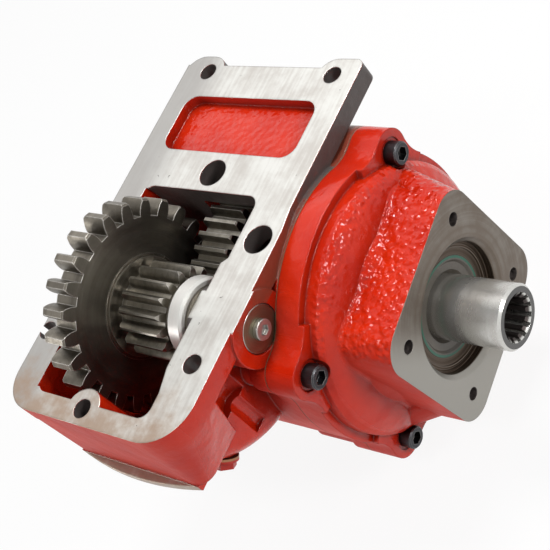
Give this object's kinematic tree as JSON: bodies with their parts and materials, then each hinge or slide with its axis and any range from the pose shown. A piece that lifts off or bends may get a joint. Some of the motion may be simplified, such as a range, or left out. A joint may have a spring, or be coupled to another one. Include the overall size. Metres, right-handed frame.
{
  "type": "power take off unit",
  "caption": "Power take off with a machined mounting flange, a large input gear standing out of the window, a pinion and output gear, and a hollow splined shaft in a square pump flange.",
  "frame": {"origin": "on the mounting face, over the input gear's axis and midway between the two side bolt holes", "axes": "+X along both shafts towards the pump flange, +Y along the mounting flange towards its two ears, +Z out of the mounting face into the gearbox"},
  "size_m": [0.2562, 0.2733, 0.249],
  "materials": {
    "main_housing": "gloss red paint, machined faces bare",
    "end_cover": "gloss red paint over cast skin, pump face machined",
    "cover_gasket": "compressed fibre sheet",
    "cover_screws": "black oxide",
    "idler_axle": "ground, oxide dark end",
    "axle_rings": "nitrile rubber",
    "axle_screw": "bright zinc",
    "thrust_washer_left": "ground steel",
    "thrust_washer_right": "ground steel",
    "input_gear": "case hardened steel with ground flanks",
    "pinion_hub": "ground steel",
    "gear_retaining_ring": "spring steel",
    "needle_rollers": "polished bearing steel",
    "needle_cages": "pressed steel",
    "output_gear": "ground steel",
    "output_key": "drawn key steel",
    "output_shaft": "ground and polished",
    "spacer_sleeve": "turned",
    "shaft_circlip": "spring steel",
    "bearing_circlip": "spring steel",
    "front_bearing_outer": "ground",
    "front_bearing_inner": "ground",
    "front_bearing_balls": "polished",
    "front_bearing_cage": "plain",
    "rear_bearing_outer": "ground",
    "rear_bearing_inner": "ground",
    "rear_bearing_balls": "polished",
    "rear_bearing_cage": "plain",
    "shaft_seal": "green seal rubber",
    "drain_plug": "overpainted dark",
    "drain_washer": "soft copper"
  },
  "bodies": {
    "housing": {"main_housing": "main_housing", "end_cover": "end_cover", "cover_gasket": "cover_gasket", "cover_screws": "cover_screws", "idler_axle": "idler_axle", "axle_rings": "axle_rings", "axle_screw": "axle_screw", "thrust_washer_left": "thrust_washer_left", "thrust_washer_right": "thrust_washer_right", "front_bearing_outer": "front_bearing_outer", "rear_bearing_outer": "rear_bearing_outer", "bearing_circlip": "bearing_circlip", "shaft_seal": "shaft_seal", "drain_plug": "drain_plug", "drain_washer": "drain_washer"},
    "input_cluster": {"input_gear": "input_gear", "pinion_hub": "pinion_hub", "gear_retaining_ring": "gear_retaining_ring", "needle_rollers": "needle_rollers", "needle_cages": "needle_cages"},
    "output_train": {"output_shaft": "output_shaft", "output_gear": "output_gear", "output_key": "output_key", "spacer_sleeve": "spacer_sleeve", "shaft_circlip": "shaft_circlip", "front_bearing_inner": "front_bearing_inner", "rear_bearing_inner": "rear_bearing_inner", "front_bearing_balls": "front_bearing_balls", "rear_bearing_balls": "rear_bearing_balls", "front_bearing_cage": "front_bearing_cage", "rear_bearing_cage": "rear_bearing_cage"}
  },
  "joints": [
    {"name": "input_spin", "type": "hinge", "parent": "housing", "child": "input_cluster", "pos_m": [0, 0, -0.0192], "axis": [1, 0, 0], "continuous": true},
    {"name": "output_spin", "type": "hinge", "parent": "housing", "child": "output_train", "pos_m": [0, 0.0695, -0.09589], "axis": [1, 0, 0], "continuous": true}
  ],
  "couplings": [
    {"joint": "input_spin", "follows": "output_spin", "ratio": -3.0588}
  ]
}
